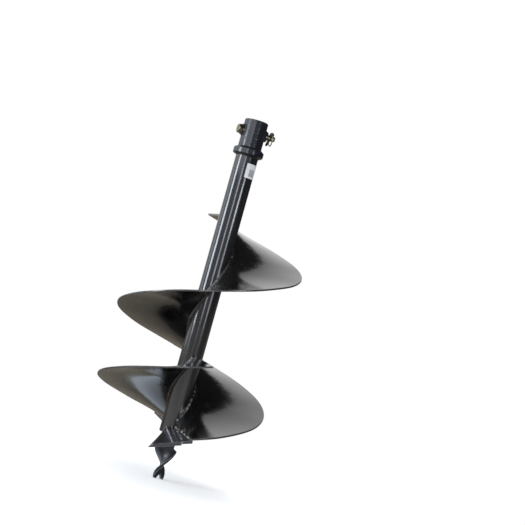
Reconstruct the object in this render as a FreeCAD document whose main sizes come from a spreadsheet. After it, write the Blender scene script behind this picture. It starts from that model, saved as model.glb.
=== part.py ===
"""Earth auger for a small loader: a round drive hub with its cross pin and lynch pin, a tube,
helical flights of two starts, two knives on supports and a twisted fishtail pilot.
The origin is the centre of the hub's mouth and +Z runs up along the drive shaft."""

import FreeCAD, Part
import Sketcher
import os
from math import atan2, pi

SIZES = {
    # hub
    "shaft_od": 65,
    "land_length": 29,
    "relief": 1,
    "socket_depth": 86,
    "sleeve_od": 84,
    "sleeve_length": 102,
    "mouth_chamfer": 2,
    "collar_wall": 14,
    "collar_length": 24.5,
    "collar_chamfer": 4,
    "spigot_length": 48,
    # cross pin and its bosses
    "pin_od": 20,
    "pin_depth": 42,
    "boss_od": 38,
    "boss_height": 7,
    "head_flats": 30,
    "head_height": 12.5,
    "pin_reach": 33,
    "pin_chamfer": 2.5,
    # lynch pin and its spring ring
    "lynch_out": 16,
    "lynch_lean": 38,
    "lynch_od": 9.5,
    "lynch_tip": 34,
    "eye_od": 15,
    "eye_width": 11,
    "eye_height": 12,
    "wire_od": 3.8,
    "ring_radius": 23,
    "ring_shoulder": 9,
    "ring_corner": 4,
    "ring_tilt": 11,
    # tube and its label
    "tube_od": 80,
    "tube_wall": 6,
    "tube_length": 1028,
    "label_gap": 27,
    "label_height": 51,
    "label_width": 70,
    "label_film": 0.3,
    "label_turn": -99.5,
    # flights
    "flight_od": 600,
    "pitch": 500,
    "plate": 6,
    "end_rise": 34.3,
    "end_turn": -96.8,
    "section_turn": 180.6,
    "second_drop": 7,
    # knives and their supports
    "blade_yaw": 14.2,
    "blade_slope": 18.3,
    "blade_inner": 15,
    "knife_plate": 12,
    "support_plate": 8,
    "nose_drop": 3,
    "trail_root": 19,
    "trail_rim": 78,
    "seam_root": 12,
    "seam_rim": 46,
    "bevel_root": -17,
    "bevel_rim": 15,
    "nose_root": -21,
    "nose_rim": -48,
    "edge_root": -25,
    "edge_rim": -60,
    # pilot
    "plug_length": 40,
    "pilot_turn": -21,
    "pilot_plate": 12,
    "shank_width": 55,
    "shank_grip": 36,
    "shank_drop": 51,
    "wing_drop": 8,
    "wing_width": 80,
    "twist_length": 105,
    "twist_turn": 168,
    "tip_width": 36,
    "notch_width": 16,
    "notch_depth": 16,
    # clearances: slip seats welded pieces, run is for pieces that move, rest parts two bodies
    "slip": 0.05,
    "run": 0.1,
    "rest": 0.3,
}

FLIGHT_STRIPS = 4
PILOT_SECTIONS = 13

doc = FreeCAD.newDocument("Auger")
sheet = doc.addObject("Spreadsheet::Sheet", "Dim")
for row, (name, number) in enumerate(SIZES.items(), 1):
    sheet.set(f"A{row}", name)
    sheet.set(f"B{row}", str(number))
    sheet.setAlias(f"B{row}", name)
doc.recompute()

NODES = []

# depths below the hub's mouth and radii that several pieces share
SLEEVE_R = "Dim.sleeve_od / 2"
TUBE_R = "Dim.tube_od / 2"
TUBE_BORE_R = "(Dim.tube_od / 2 - Dim.tube_wall)"
TUBE_END = "(Dim.sleeve_length + Dim.tube_length)"
FLIGHT_END = "(Dim.sleeve_length + Dim.tube_length - Dim.end_rise)"
COLLAR_R = "(Dim.tube_od / 2 + Dim.collar_wall)"
LABEL_TOP = "(Dim.sleeve_length + Dim.collar_length + Dim.label_gap)"
RELIEF_R = "(Dim.shaft_od / 2 + Dim.relief)"
BOSS_FACE = "(Dim.sleeve_od / 2 + Dim.boss_height)"
PIN_HOLE_R = "(Dim.pin_od / 2 + Dim.run)"
LYNCH_X = "(Dim.sleeve_od / 2 + Dim.boss_height + Dim.lynch_out)"
WIRE_HOLE_R = "(Dim.wire_od / 2 + Dim.run)"
EYE_FOOT = "(Dim.pin_od / 2 + Dim.rest)"
HINGE = "(Dim.pin_od / 2 + Dim.rest + Dim.eye_height / 2)"
FLIGHT_ROOT = "(Dim.tube_od / 2 + Dim.slip)"
FLIGHT_RIM = "Dim.flight_od / 2"


def new_body(label):
    """Starts one piece: its name is also the name of its file."""
    body = doc.addObject("PartDesign::Body", label)
    body.Label = label
    NODES.append(body)
    return body


def origin(body, role):
    """A plane or axis of the body's own origin."""
    return next(f for f in body.Origin.OriginFeatures if f.Role == role)


def place(body, turn="0", z="0", x="0"):
    """Turns a body about the auger's axis and shifts it, all by sheet expressions."""
    body.Placement = FreeCAD.Placement(
        FreeCAD.Vector(0, 0, 0), FreeCAD.Rotation(FreeCAD.Vector(0, 0, 1), 1)
    )
    body.setExpression("Placement.Rotation.Angle", turn)
    body.setExpression("Placement.Base.x", x)
    body.setExpression("Placement.Base.z", z)


def new_sketch(body, role, name, lift=None, turn=None, axis=(0, 0, 1)):
    """A sketch on an origin plane, lifted along its normal or turned about one of its own axes."""
    sketch = body.newObject("Sketcher::SketchObject", f"{body.Name}_{name}")
    sketch.AttachmentSupport = (origin(body, role), "")
    sketch.MapMode = "FlatFace"
    if lift:
        sketch.setExpression("AttachmentOffset.Base.z", lift)
    if turn:
        sketch.AttachmentOffset = FreeCAD.Placement(
            FreeCAD.Vector(0, 0, 0), FreeCAD.Rotation(FreeCAD.Vector(*axis), 1)
        )
        sketch.setExpression("AttachmentOffset.Rotation.Angle", turn)
    return sketch


def number(sketch, expression):
    """What a sheet expression amounts to now, as a plain number."""
    found = sketch.evalExpression(expression)
    return float(getattr(found, "Value", found))


def hold(sketch, geometry, end, x, y):
    """Holds one point of the sketch at (x, y) from its origin by two bound dimensions."""
    for kind, expression in (("DistanceX", x), ("DistanceY", y)):
        index = sketch.addConstraint(
            Sketcher.Constraint(kind, -1, 1, geometry, end, number(sketch, expression))
        )
        sketch.setExpression(f"Constraints[{index}]", expression)


def outline(sketch, corners):
    """A closed outline of straight lines, each corner held by sheet expressions."""
    spots = [FreeCAD.Vector(number(sketch, x), number(sketch, y), 0) for x, y in corners]
    lines = [
        sketch.addGeometry(Part.LineSegment(spot, spots[(i + 1) % len(spots)]))
        for i, spot in enumerate(spots)
    ]
    for i, line in enumerate(lines):
        following = lines[(i + 1) % len(lines)]
        sketch.addConstraint(Sketcher.Constraint("Coincident", line, 2, following, 1))
    for line, (x, y) in zip(lines, corners):
        hold(sketch, line, 1, x, y)


def circle(sketch, radius, x="0", y="0"):
    """A circle with bound radius and centre."""
    spot = FreeCAD.Vector(number(sketch, x), number(sketch, y), 0)
    size = number(sketch, radius)
    ring = sketch.addGeometry(Part.Circle(spot, FreeCAD.Vector(0, 0, 1), size))
    index = sketch.addConstraint(Sketcher.Constraint("Radius", ring, size))
    sketch.setExpression(f"Constraints[{index}]", radius)
    hold(sketch, ring, 3, x, y)


def spin(body, sketch, kind="Revolution", axis="V_Axis"):
    """Turns a half section all the way round an axis of its sketch."""
    feature = body.newObject(f"PartDesign::{kind}", f"{sketch.Name}_{kind}")
    feature.Profile = sketch
    feature.ReferenceAxis = (sketch, [axis])
    feature.Angle = 360
    return feature


def pad(body, sketch, length, midplane=False):
    """Gives a sketch a bound thickness along its normal."""
    feature = body.newObject("PartDesign::Pad", f"{sketch.Name}_pad")
    feature.Profile = sketch
    feature.Midplane = midplane
    feature.setExpression("Length", length)
    return feature


def cut_through(body, sketch, length=None):
    """Cuts a sketch through the body, both ways unless a length one way is given."""
    before = recomputed(body).Volume
    feature = body.newObject("PartDesign::Pocket", f"{sketch.Name}_cut")
    feature.Profile = sketch
    if length:
        feature.setExpression("Length", length)
    else:
        feature.Type = 1
        feature.Midplane = True
    check_cut(body, before)
    return feature


def check_cut(body, before):
    """Stops when the last cut took nothing off."""
    if not recomputed(body).Volume < before - 0.1:
        raise RuntimeError(f"a cut of {body.Label} removes nothing")


def recomputed(body):
    doc.recompute()
    return body.Shape


def round_profile(body, corners, role="XZ_Plane", name="section", axis="V_Axis"):
    """One turned piece from the corners of its half section."""
    section = new_sketch(body, role, name)
    outline(section, corners)
    return spin(body, section, axis=axis)


def cross_hole(body):
    """The drilled way for the cross pin, along X at the pin's depth."""
    drill = new_sketch(body, "YZ_Plane", "pin_hole")
    circle(drill, PIN_HOLE_R, y="-Dim.pin_depth")
    cut_through(body, drill)


# hub sleeve: the mouth's land centres the drive shaft and the rest of the socket is relieved
hub_sleeve = new_body("hub_sleeve")
round_profile(
    hub_sleeve,
    [
        ("Dim.shaft_od / 2", "0"),
        (f"{SLEEVE_R} - Dim.mouth_chamfer", "0"),
        (SLEEVE_R, "-Dim.mouth_chamfer"),
        (SLEEVE_R, "-Dim.sleeve_length"),
        (RELIEF_R, "-Dim.sleeve_length"),
        (RELIEF_R, "-Dim.land_length - Dim.relief"),
        ("Dim.shaft_od / 2", "-Dim.land_length"),
    ],
)
cross_hole(hub_sleeve)

# spigot: closes the socket and centres the tube under the sleeve
hub_spigot = new_body("hub_spigot")
round_profile(
    hub_spigot,
    [
        ("0", "-Dim.socket_depth"),
        (f"{RELIEF_R} - Dim.slip", "-Dim.socket_depth"),
        (f"{RELIEF_R} - Dim.slip", "-Dim.sleeve_length"),
        (f"{TUBE_BORE_R} - Dim.slip", "-Dim.sleeve_length"),
        (f"{TUBE_BORE_R} - Dim.slip", "-Dim.sleeve_length - Dim.spigot_length"),
        ("0", "-Dim.sleeve_length - Dim.spigot_length"),
    ],
)

# collar: the ring round the top of the tube under the sleeve
hub_collar = new_body("hub_collar")
round_profile(
    hub_collar,
    [
        (f"{TUBE_R} + Dim.slip", "-Dim.sleeve_length"),
        (f"{COLLAR_R} - Dim.collar_chamfer", "-Dim.sleeve_length"),
        (COLLAR_R, "-Dim.sleeve_length - Dim.collar_chamfer"),
        (COLLAR_R, "-Dim.sleeve_length - Dim.collar_length + Dim.collar_chamfer"),
        (f"{COLLAR_R} - Dim.collar_chamfer", "-Dim.sleeve_length - Dim.collar_length"),
        (f"{TUBE_R} + Dim.slip", "-Dim.sleeve_length - Dim.collar_length"),
    ],
)


def pin_boss(label, turn):
    """One round boss that backs the cross pin, coped to the sleeve's outside."""
    boss = new_body(label)
    place(boss, turn=turn)
    face = new_sketch(boss, "YZ_Plane", "face")
    circle(face, "Dim.boss_od / 2", y="-Dim.pin_depth")
    pad(boss, face, BOSS_FACE)
    cope = new_sketch(boss, "XY_Plane", "cope")
    circle(cope, f"{SLEEVE_R} + Dim.slip")
    cut_through(boss, cope)
    cross_hole(boss)


pin_boss("pin_boss_tail", "0")
pin_boss("pin_boss_head", "180")

# cross pin: hexagon head against one boss, plain end with the lynch pin's hole past the other
drive_pin = new_body("drive_pin")
HEAD_FACE = f"(-{BOSS_FACE} - Dim.rest)"
HEAD_END = f"({HEAD_FACE} - Dim.head_height)"
PIN_END = f"({BOSS_FACE} + Dim.pin_reach)"
place(drive_pin, z="-Dim.pin_depth")
head = new_sketch(drive_pin, "YZ_Plane", "head", lift=HEAD_END)
outline(
    head,
    [
        (
            f"Dim.head_flats / sqrt(3) * cos({60 * corner})",
            f"Dim.head_flats / sqrt(3) * sin({60 * corner})",
        )
        for corner in range(6)
    ],
)
pad(drive_pin, head, "Dim.head_height")
round_profile(
    drive_pin,
    [
        (HEAD_FACE, "0"),
        (HEAD_FACE, "Dim.pin_od / 2"),
        (f"{PIN_END} - Dim.pin_chamfer", "Dim.pin_od / 2"),
        (PIN_END, "Dim.pin_od / 2 - Dim.pin_chamfer"),
        (PIN_END, "0"),
    ],
    name="shank",
    axis="H_Axis",
)
bevel = new_sketch(drive_pin, "XZ_Plane", "bevel")
outline(
    bevel,
    [
        (HEAD_END, "Dim.head_flats / 2 - 0.5"),
        (f"{HEAD_END} + Dim.head_flats / 8", "Dim.head_flats / sqrt(3) + 1"),
        (HEAD_END, "Dim.head_flats / sqrt(3) + 1"),
    ],
)
whole = recomputed(drive_pin).Volume
spin(drive_pin, bevel, kind="Groove", axis="H_Axis")
check_cut(drive_pin, whole)
lynch_hole = new_sketch(
    drive_pin, "XY_Plane", "lynch_hole", turn="Dim.lynch_lean", axis=(1, 0, 0)
)
circle(lynch_hole, "Dim.lynch_od / 2 + Dim.run", x=LYNCH_X)
cut_through(drive_pin, lynch_hole)


def lean(body, along="0"):
    """Puts a body in the lynch pin's frame: origin on the cross pin's axis, +Z towards the eye."""
    body.Placement = FreeCAD.Placement(
        FreeCAD.Vector(0, 0, 0), FreeCAD.Rotation(FreeCAD.Vector(1, 0, 0), 1)
    )
    body.setExpression("Placement.Rotation.Angle", "Dim.lynch_lean")
    body.setExpression("Placement.Base.x", LYNCH_X)
    body.setExpression("Placement.Base.y", f"-{along} * sin(Dim.lynch_lean)")
    body.setExpression("Placement.Base.z", f"{along} * cos(Dim.lynch_lean) - Dim.pin_depth")


# lynch pin: shank through the cross pin and an eye with two flats that carries the ring
lynch_pin = new_body("lynch_pin")
lean(lynch_pin)
round_profile(
    lynch_pin,
    [
        ("0", "-Dim.lynch_tip"),
        ("Dim.lynch_od / 4", "-Dim.lynch_tip"),
        ("Dim.lynch_od / 2", "-Dim.lynch_tip + Dim.lynch_od / 2"),
        ("Dim.lynch_od / 2", EYE_FOOT),
        ("Dim.eye_od / 2 - 1.5", EYE_FOOT),
        ("Dim.eye_od / 2", f"{EYE_FOOT} + 1.5"),
        ("Dim.eye_od / 2", f"{EYE_FOOT} + Dim.eye_height - 3"),
        ("Dim.eye_od / 2 - 3", f"{EYE_FOOT} + Dim.eye_height"),
        ("0", f"{EYE_FOOT} + Dim.eye_height"),
    ],
)
flats = new_sketch(lynch_pin, "XZ_Plane", "flats", lift="-Dim.eye_width / 2")
outline(
    flats,
    [
        ("-Dim.eye_od", f"{EYE_FOOT} - 0.1"),
        ("Dim.eye_od", f"{EYE_FOOT} - 0.1"),
        ("Dim.eye_od", f"{EYE_FOOT} + Dim.eye_height + 1"),
        ("-Dim.eye_od", f"{EYE_FOOT} + Dim.eye_height + 1"),
    ],
)
first_flat = cut_through(lynch_pin, flats, "Dim.eye_od")
whole = recomputed(lynch_pin).Volume
both_flats = lynch_pin.newObject("PartDesign::Mirrored", "lynch_pin_both_flats")
both_flats.Originals = [first_flat]
both_flats.MirrorPlane = (origin(lynch_pin, "XZ_Plane"), [""])
lynch_pin.Tip = both_flats
check_cut(lynch_pin, whole)
eye_hole = new_sketch(lynch_pin, "XZ_Plane", "eye_hole")
circle(eye_hole, WIRE_HOLE_R, y=HINGE)
cut_through(lynch_pin, eye_hole)

# spring ring: one wire loop whose two ends turn inwards into the eye's hole
lynch_ring = new_body("lynch_ring")
lean(lynch_ring, HINGE)
RING_FALL = (
    "(Dim.ring_corner + sqrt((Dim.ring_radius - Dim.ring_corner)^2 - Dim.ring_shoulder^2))"
)
WIRE_START = "(Dim.eye_width / 4)"
loop = new_sketch(lynch_ring, "YZ_Plane", "loop", turn="-Dim.ring_tilt", axis=(1, 0, 0))


def draw_ring_path(sketch):
    """The wire's centre line: out of the eye, round a tight corner, once round and back."""
    fall = number(sketch, RING_FALL)
    radius = number(sketch, "Dim.ring_radius")
    shoulder = number(sketch, "Dim.ring_shoulder")
    corner = number(sketch, "Dim.ring_corner")
    inner = number(sketch, WIRE_START)
    up = FreeCAD.Vector(0, 0, 1)
    bearing = atan2(fall - corner, shoulder)
    centre = FreeCAD.Vector(0, -fall, 0)
    line, bend = [], []
    for side in (1, -1):
        ends = FreeCAD.Vector(side * inner, 0, 0), FreeCAD.Vector(side * shoulder, 0, 0)
        line.append(sketch.addGeometry(Part.LineSegment(*ends)))
        turn = Part.Circle(FreeCAD.Vector(side * shoulder, -corner, 0), up, corner)
        arc = (bearing, pi / 2) if side > 0 else (pi / 2, pi - bearing)
        bend.append(sketch.addGeometry(Part.ArcOfCircle(turn, *arc)))
    whole = Part.Circle(centre, up, radius)
    hoop = sketch.addGeometry(Part.ArcOfCircle(whole, pi - bearing, 2 * pi + bearing))
    for side, x in ((0, 1), (1, -1)):
        hold(sketch, line[side], 1, f"{x} * {WIRE_START}", "0")
        hold(sketch, line[side], 2, f"{x} * Dim.ring_shoulder", "0")
        near, far = (2, 1) if side == 0 else (1, 2)
        sketch.addConstraint(Sketcher.Constraint("Tangent", line[side], 2, bend[side], near))
        sketch.addConstraint(Sketcher.Constraint("Tangent", bend[side], far, hoop, near))
    for curve, size in ((bend[0], "ring_corner"), (bend[1], "ring_corner"), (hoop, "ring_radius")):
        index = sketch.addConstraint(
            Sketcher.Constraint("Radius", curve, number(sketch, f"Dim.{size}"))
        )
        sketch.setExpression(f"Constraints[{index}]", f"Dim.{size}")


draw_ring_path(loop)
wire = new_sketch(lynch_ring, "XZ_Plane", "wire", lift=f"-{WIRE_START}")
circle(wire, "Dim.wire_od / 2")
ring_pipe = lynch_ring.newObject("PartDesign::AdditivePipe", "lynch_ring_pipe")
ring_pipe.Profile = wire
ring_pipe.Spine = (loop, [])

# tube: the auger's stem, from the sleeve to the pilot's plug
main_tube = new_body("main_tube")
round_profile(
    main_tube,
    [
        (TUBE_BORE_R, "-Dim.sleeve_length"),
        (TUBE_R, "-Dim.sleeve_length"),
        (TUBE_R, f"-{TUBE_END}"),
        (TUBE_BORE_R, f"-{TUBE_END}"),
    ],
)

# label: a bare film on the tube under the collar
tube_label = new_body("tube_label")
place(tube_label, turn="Dim.label_turn")
film = new_sketch(tube_label, "XZ_Plane", "film")
outline(
    film,
    [
        (f"{TUBE_R} + Dim.slip", f"-{LABEL_TOP}"),
        (f"{TUBE_R} + Dim.label_film", f"-{LABEL_TOP}"),
        (f"{TUBE_R} + Dim.label_film", f"-{LABEL_TOP} - Dim.label_height"),
        (f"{TUBE_R} + Dim.slip", f"-{LABEL_TOP} - Dim.label_height"),
    ],
)
wrap = spin(tube_label, film)
wrap.setExpression("Angle", f"Dim.label_width / ({TUBE_R}) * 180 / pi")


def flight(label, start, step):
    """One pressed half-turn section: a helicoid of even plate thickness, so its upright
    half thickness at radius r is plate / 2 * sqrt(1 + (pitch / (2 pi r))^2)."""
    section = new_body(label)
    place(
        section,
        turn=f"Dim.end_turn + {180 * start} + {step} * Dim.section_turn",
        z=f"Dim.pitch * {step} * Dim.section_turn / 360"
        f" - {FLIGHT_END} - {start} * Dim.second_drop",
    )
    radii = [
        f"({FLIGHT_ROOT} * ({FLIGHT_RIM} / {FLIGHT_ROOT})^({k} / {FLIGHT_STRIPS}))"
        for k in range(FLIGHT_STRIPS + 1)
    ]
    upper = [(r, half_plate(r)) for r in radii]
    lower = [(r, f"-{half_plate(r)}") for r in reversed(radii)]
    profile = new_sketch(section, "XZ_Plane", "profile")
    outline(profile, upper + lower)
    sweep = section.newObject("PartDesign::AdditiveHelix", f"{label}_sweep")
    sweep.Profile = profile
    sweep.ReferenceAxis = (origin(section, "Z_Axis"), [""])
    sweep.Mode = 1
    sweep.setExpression("Pitch", "Dim.pitch")
    sweep.setExpression("Turns", "Dim.section_turn / 360")


def half_plate(r):
    return f"(Dim.plate / 2 * sqrt(1 + (Dim.pitch / (2 * pi * {r}))^2))"


flight("flight_a_lower", 0, 0)
flight("flight_a_middle", 0, 1)
flight("flight_a_upper", 0, 2)
flight("flight_b", 1, 0)


def along(root, rim, x):
    """A lateral position that runs straight from its root value to its rim value."""
    return f"({root} + ({rim} - {root}) * ({x} - {TUBE_R}) / ({FLIGHT_RIM} - {TUBE_R}))"


def blade_top(x, side):
    """The height of the blades' common upper face: it holds the under edge of the flight's
    end, which is lower at the root, and slopes down ahead of it."""
    radius = f"({x} / cos(Dim.blade_yaw))"
    under = along(half_plate(FLIGHT_ROOT), half_plate(f"({FLIGHT_RIM})"), radius)
    level = f"(-{under} - Dim.rest)"
    return f"({level} + tan(Dim.blade_slope) * ({side} - {x} * tan(Dim.blade_yaw)))"


def blade(label, start, corners):
    """A plate from the tube to the rim, ruled between two upright sections; corners give
    the lateral position and the depth below the upper face, each at the root and the rim."""
    plate = new_body(label)
    place(
        plate,
        turn=f"Dim.end_turn - Dim.blade_yaw + {180 * start}",
        z=f"-{FLIGHT_END} - {start} * Dim.second_drop",
    )
    sections = []
    for name, x in (("inner", "Dim.blade_inner"), ("outer", FLIGHT_RIM)):
        sections.append(new_sketch(plate, "YZ_Plane", name, lift=x))
        places = [
            (along(root, rim, f"({x})"), along(*depths, f"({x})"))
            for root, rim, *depths in corners
        ]
        outline(sections[-1], [
            (side, f"{blade_top(f'({x})', side)} - {below}") for side, below in places
        ])
    ruled = plate.newObject("PartDesign::AdditiveLoft", f"{label}_loft")
    ruled.Profile = sections[0]
    ruled.Sections = sections[1:]
    ruled.Ruled = True
    cope = new_sketch(plate, "XY_Plane", "cope")
    circle(cope, f"{TUBE_R} + Dim.slip")
    cut_through(plate, cope)


def blade_set(name, start):
    """The support under the flight's end and the knife ahead of it, which has a long slight
    bevel and then a steep nose down to its cutting edge."""
    support_deep = "Dim.support_plate / cos(Dim.blade_slope)"
    knife_deep = "Dim.knife_plate / cos(Dim.blade_slope)"
    blade(
        f"blade_support_{name}",
        start,
        [
            ("Dim.trail_root", "Dim.trail_rim", "0", "0"),
            ("Dim.seam_root + Dim.slip", "Dim.seam_rim + Dim.slip", "0", "0"),
            ("Dim.seam_root + Dim.slip", "Dim.seam_rim + Dim.slip", support_deep, support_deep),
            ("Dim.trail_root", "Dim.trail_rim", support_deep, support_deep),
        ],
    )
    blade(
        f"knife_{name}",
        start,
        [
            ("Dim.seam_root", "Dim.seam_rim", "0", "0"),
            ("Dim.bevel_root", "Dim.bevel_rim", "0", "0"),
            ("Dim.nose_root", "Dim.nose_rim", "Dim.nose_drop / 6", "Dim.nose_drop"),
            ("Dim.edge_root", "Dim.edge_rim", knife_deep, knife_deep),
            ("Dim.seam_root", "Dim.seam_rim", knife_deep, knife_deep),
        ],
    )


blade_set("front", 0)
blade_set("rear", 1)

# plug: closes the tube's lower end and holds the pilot's flat shank
tube_end_plug = new_body("tube_end_plug")
place(tube_end_plug, turn="Dim.pilot_turn", z=f"-{TUBE_END}")
disc = new_sketch(tube_end_plug, "XY_Plane", "disc")
circle(disc, f"{TUBE_BORE_R} - Dim.slip")
pad(tube_end_plug, disc, "Dim.plug_length")
slot = new_sketch(tube_end_plug, "XY_Plane", "slot")
HALF_SHANK = "Dim.shank_width / 2"
HALF_PILOT = "Dim.pilot_plate / 2"
outline(
    slot,
    [
        (f"{x} * ({HALF_SHANK} + Dim.slip)", f"{y} * ({HALF_PILOT} + Dim.slip)")
        for x, y in ((1, 1), (-1, 1), (-1, -1), (1, -1))
    ],
)
cut_through(tube_end_plug, slot)

# pilot: a flat bar with a shouldered shank, tapering while it twists, notched like a fishtail
pilot = new_body("pilot")
place(pilot, turn="Dim.pilot_turn", z=f"-{TUBE_END}")
SHOULDER = "-Dim.shank_drop"
WING = "(-Dim.shank_drop - Dim.wing_drop)"
blank = new_sketch(pilot, "XZ_Plane", "blank")
outline(
    blank,
    [
        (f"-{HALF_SHANK}", "Dim.shank_grip"),
        (f"-{HALF_SHANK}", SHOULDER),
        ("-Dim.wing_width / 2", WING),
        ("Dim.wing_width / 2", WING),
        (HALF_SHANK, SHOULDER),
        (HALF_SHANK, "Dim.shank_grip"),
    ],
)
pad(pilot, blank, "Dim.pilot_plate", midplane=True)
slices = []
for k in range(PILOT_SECTIONS):
    share = f"({k} / {PILOT_SECTIONS - 1})"
    cross = new_sketch(
        pilot, "XY_Plane", f"slice_{k}", lift=f"{WING} - Dim.twist_length * {share}",
        turn=f"-Dim.twist_turn * {share}",
    )
    half = f"(Dim.wing_width + (Dim.tip_width - Dim.wing_width) * {share}) / 2"
    outline(
        cross,
        [(f"{x} * {half}", f"{y} * {HALF_PILOT}") for x, y in ((1, 1), (-1, 1), (-1, -1), (1, -1))],
    )
    slices.append(cross)
twisted = pilot.newObject("PartDesign::AdditiveLoft", "pilot_twist")
twisted.Profile = slices[0]
twisted.Sections = slices[1:]
notch = new_sketch(pilot, "XZ_Plane", "notch", turn="-Dim.twist_turn", axis=(0, 1, 0))
TIP = f"({WING} - Dim.twist_length)"
outline(
    notch,
    [
        ("-Dim.notch_width / 2", TIP),
        ("-Dim.notch_width / 2", f"{TIP} - 1"),
        ("Dim.notch_width / 2", f"{TIP} - 1"),
        ("Dim.notch_width / 2", TIP),
        ("0", f"{TIP} + Dim.notch_depth"),
    ],
)
cut_through(pilot, notch)

doc.recompute()
for item in doc.Objects:
    if {"Invalid", "Error"} & set(item.State):
        raise RuntimeError(f"{item.Label} failed: {item.State}")
for node in NODES:
    if node.Shape.isNull() or not node.Shape.isValid() or len(node.Shape.Solids) != 1:
        raise RuntimeError(f"{node.Label} is not one valid solid")

os.makedirs("parts", exist_ok=True)
for node in NODES:
    node.Shape.exportStep(f"parts/{node.Label}.step")
    print(f"{node.Label}: {node.Shape.Volume / 1000:.1f} cm3")
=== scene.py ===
import bmesh
import bpy
import numpy as np
from mathutils import Matrix, Vector


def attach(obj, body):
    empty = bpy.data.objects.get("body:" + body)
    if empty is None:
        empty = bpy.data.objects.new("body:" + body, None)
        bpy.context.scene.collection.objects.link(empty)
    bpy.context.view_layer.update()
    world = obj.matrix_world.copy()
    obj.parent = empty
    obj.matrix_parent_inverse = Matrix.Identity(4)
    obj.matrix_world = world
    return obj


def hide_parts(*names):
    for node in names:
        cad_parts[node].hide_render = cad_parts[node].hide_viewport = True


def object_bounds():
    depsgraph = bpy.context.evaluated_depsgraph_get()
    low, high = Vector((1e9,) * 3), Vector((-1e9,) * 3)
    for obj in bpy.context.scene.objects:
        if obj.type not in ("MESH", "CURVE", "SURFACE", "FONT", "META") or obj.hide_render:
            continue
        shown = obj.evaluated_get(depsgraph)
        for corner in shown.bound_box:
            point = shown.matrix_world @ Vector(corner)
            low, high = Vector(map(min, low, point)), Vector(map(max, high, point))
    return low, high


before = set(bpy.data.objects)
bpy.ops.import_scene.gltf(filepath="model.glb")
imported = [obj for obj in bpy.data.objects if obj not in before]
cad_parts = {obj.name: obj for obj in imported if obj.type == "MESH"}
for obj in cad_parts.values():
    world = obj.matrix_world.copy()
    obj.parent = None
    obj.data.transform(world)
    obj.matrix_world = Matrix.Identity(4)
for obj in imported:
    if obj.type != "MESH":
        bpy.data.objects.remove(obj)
cad_box = [list(corner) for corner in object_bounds()]
MM = 0.001


# Socket hub: a length of thick tube, turned and bored, with two round bosses welded on where
# the cross pin goes through and a chamfered collar below. Satin black over a machined and
# ground surface, so the light on it breaks up into soft mottles.
def new_finish(name):
    """A node finish with nothing in it but its shader; returns the material, tree and shader."""
    finish = bpy.data.materials.new(name)
    finish.use_nodes = True
    return finish, finish.node_tree, finish.node_tree.nodes["Principled BSDF"]


def node(tree, kind, sockets=None, **settings):
    """One node of the tree; a socket is given a plain value or another node's output."""
    made = tree.nodes.new("ShaderNode" + kind)
    for key, value in settings.items():
        setattr(made, key, value)
    for key, value in (sockets or {}).items():
        if isinstance(value, bpy.types.NodeSocket):
            tree.links.new(value, made.inputs[key])
        else:
            made.inputs[key].default_value = value
    return made


def cloud(tree, where, scale, detail=3.0, low=0.0, high=1.0, stretch=None, rough=0.55):
    """Soft noise at so many blobs a metre, spread so that low..high of it fills 0..1."""
    if stretch is not None:
        where = node(tree, "Mapping", {"Vector": where, "Scale": stretch}).outputs[0]
    noise = node(
        tree, "TexNoise", {"Vector": where, "Scale": scale, "Detail": detail, "Roughness": rough}
    )
    return node(
        tree, "MapRange", {"Value": noise.outputs[0], "From Min": low, "From Max": high}
    ).outputs[0]


def blend_colour(tree, share, under, over):
    """One colour over another by a share from 0 to 1."""
    mix = node(tree, "Mix", data_type="RGBA")
    for index, value in ((0, share), (6, under), (7, over)):
        if isinstance(value, bpy.types.NodeSocket):
            tree.links.new(value, mix.inputs[index])
        else:
            mix.inputs[index].default_value = value
    return mix.outputs[2]


def sums(tree, kind, first, second):
    """Plain arithmetic on two numbers, kept within 0 and 1."""
    return node(
        tree, "Math", {0: first, 1: second}, operation=kind, use_clamp=True
    ).outputs[0]


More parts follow.
